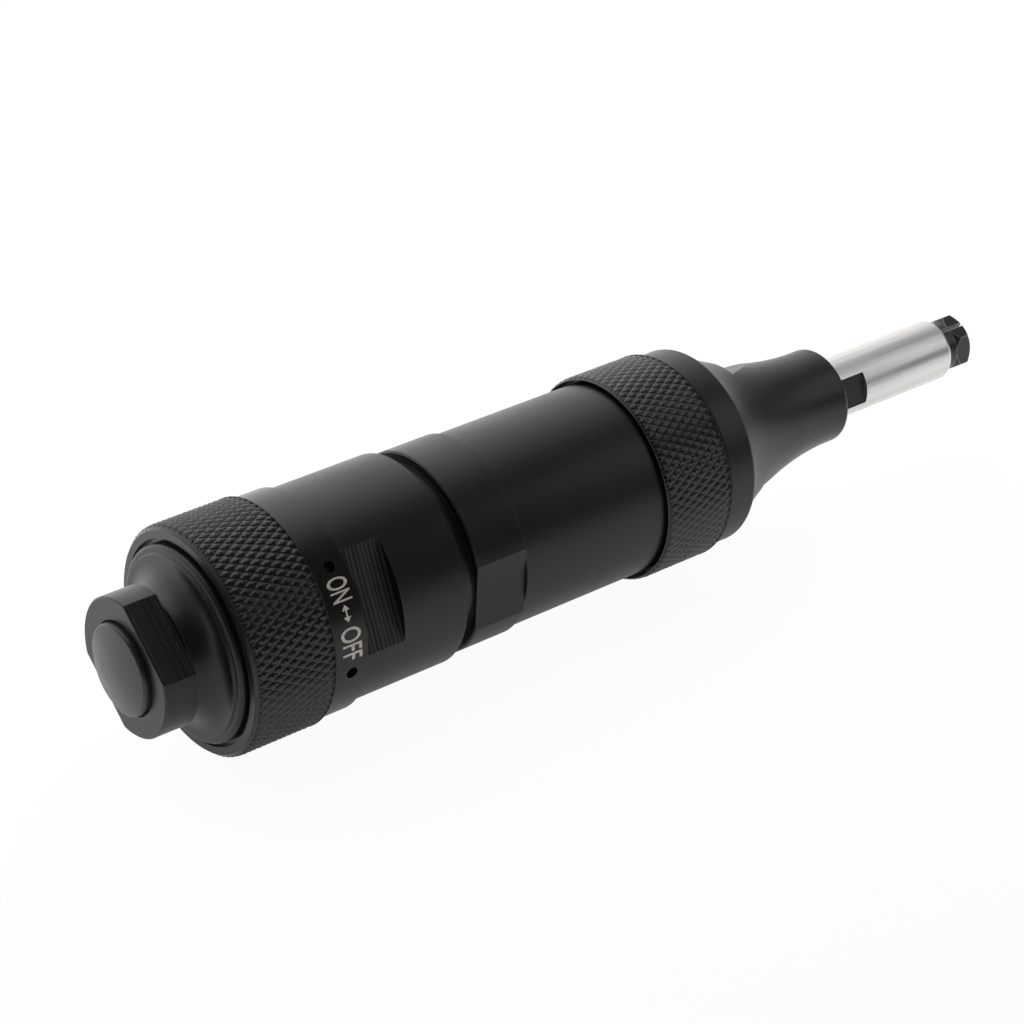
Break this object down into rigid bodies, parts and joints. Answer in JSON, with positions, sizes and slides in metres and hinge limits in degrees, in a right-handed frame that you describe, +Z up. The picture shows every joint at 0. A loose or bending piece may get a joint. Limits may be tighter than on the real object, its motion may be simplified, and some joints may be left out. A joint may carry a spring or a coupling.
{
  "type": "inline pneumatic grinder",
  "caption": "Straight air grinder with a knurled twist throttle ring, vane motor, long flared nose, ground spindle and a slit hex-head collet.",
  "frame": {"origin": "on the spindle axis, at the mouth of the collet bore", "axes": "+X along the spindle axis, out of the collet; +Z up, with the tool lying level as stored; the air inlet is at the -X end"},
  "size_m": [0.1898, 0.0406, 0.0406],
  "materials": {
    "black_steel": "satin black oxide on turned steel",
    "black_oxide": "black oxide, worn bright on its edges",
    "ground_steel": "ground bare steel",
    "spring_steel": "plain spring steel",
    "cast_iron": "ground and honed",
    "plug_plastic": "moulded black plastic, half gloss",
    "vane_composite": "phenolic composite",
    "seat_plastic": "white bearing plastic",
    "aluminium": "turned, plain",
    "nitrile": "black rubber",
    "bronze": "bronze",
    "bearing_steel": "polished bearing steel",
    "felt": "pressed wool felt"
  },
  "bodies": {
    "housing": {"inlet_bush": "black_steel", "inlet_strainer": "bronze", "strainer_clip": "black_oxide", "ring_wave_washer": "spring_steel", "ring_o_rings": "nitrile", "valve_wave_washer": "spring_steel", "valve_seat": "seat_plastic", "rear_body": "black_steel", "exhaust_collar": "black_steel", "supply_tube": "aluminium", "exhaust_silencer": "bronze", "motor_sleeve": "black_steel", "rear_end_plate": "cast_iron", "front_end_plate": "cast_iron", "liner": "cast_iron", "liner_dowels": "ground_steel", "preload_washer": "spring_steel", "front_ring": "black_steel", "nose_housing": "black_steel", "shaft_seal": "felt", "motor_rear_bearing_outer_race": "bearing_steel", "motor_front_bearing_outer_race": "bearing_steel", "nose_rear_bearing_outer_race": "bearing_steel", "nose_front_bearing_outer_race": "bearing_steel"},
    "throttle": {"throttle_ring": "black_steel", "throttle_pins": "ground_steel", "rotary_valve": "aluminium", "valve_o_rings": "nitrile"},
    "rotating_group": {"spindle": "ground_steel", "rotor": "ground_steel", "vane_1": "vane_composite", "vane_2": "vane_composite", "vane_3": "vane_composite", "vane_4": "vane_composite", "vane_5": "vane_composite", "rotor_circlip": "black_oxide", "bearing_spacer": "ground_steel", "spindle_nut": "black_oxide", "motor_rear_bearing_inner_race": "bearing_steel", "motor_front_bearing_inner_race": "bearing_steel", "nose_rear_bearing_inner_race": "bearing_steel", "nose_front_bearing_inner_race": "bearing_steel"},
    "collet": {"collet": "black_oxide"},
    "dust_plug": {"dust_plug": "plug_plastic"},
    "motor_rear_bearing_cage": {"motor_rear_bearing_cage": "bronze", "motor_rear_bearing_balls": "bearing_steel"},
    "motor_front_bearing_cage": {"motor_front_bearing_cage": "bronze", "motor_front_bearing_balls": "bearing_steel"},
    "nose_rear_bearing_cage": {"nose_rear_bearing_cage": "bronze", "nose_rear_bearing_balls": "bearing_steel"},
    "nose_front_bearing_cage": {"nose_front_bearing_cage": "bronze", "nose_front_bearing_balls": "bearing_steel"}
  },
  "joints": [
    {"name": "throttle_turn", "type": "hinge", "parent": "housing", "child": "throttle", "pos_m": [-0.1565, 0, 0], "axis": [1, 0, 0], "range_deg": [0, 55]},
    {"name": "spindle_spin", "type": "hinge", "parent": "housing", "child": "rotating_group", "pos_m": [-0.0592, 0, 0], "axis": [1, 0, 0], "continuous": true},
    {"name": "collet_turn", "type": "hinge", "parent": "rotating_group", "child": "collet", "pos_m": [-0.0127, 0, 0], "axis": [1, 0, 0], "range_deg": [0, 180]},
    {"name": "dust_plug_pull", "type": "slide", "parent": "housing", "child": "dust_plug", "axis": [-1, 0, 0], "range_m": [0, 0.06]},
    {"name": "motor_rear_bearing_orbit", "type": "hinge", "parent": "housing", "child": "motor_rear_bearing_cage", "pos_m": [-0.1292, 0, 0], "axis": [1, 0, 0], "continuous": true},
    {"name": "motor_front_bearing_orbit", "type": "hinge", "parent": "housing", "child": "motor_front_bearing_cage", "pos_m": [-0.0852, 0, 0], "axis": [1, 0, 0], "continuous": true},
    {"name": "nose_rear_bearing_orbit", "type": "hinge", "parent": "housing", "child": "nose_rear_bearing_cage", "pos_m": [-0.0742, 0, 0], "axis": [1, 0, 0], "continuous": true},
    {"name": "nose_front_bearing_orbit", "type": "hinge", "parent": "housing", "child": "nose_front_bearing_cage", "pos_m": [-0.0592, 0, 0], "axis": [1, 0, 0], "continuous": true}
  ],
  "couplings": [
    {"joint": "motor_rear_bearing_orbit", "follows": "spindle_spin", "ratio": 0.4},
    {"joint": "motor_front_bearing_orbit", "follows": "spindle_spin", "ratio": 0.38148},
    {"joint": "nose_rear_bearing_orbit", "follows": "spindle_spin", "ratio": 0.38},
    {"joint": "nose_front_bearing_orbit", "follows": "spindle_spin", "ratio": 0.41818}
  ]
}
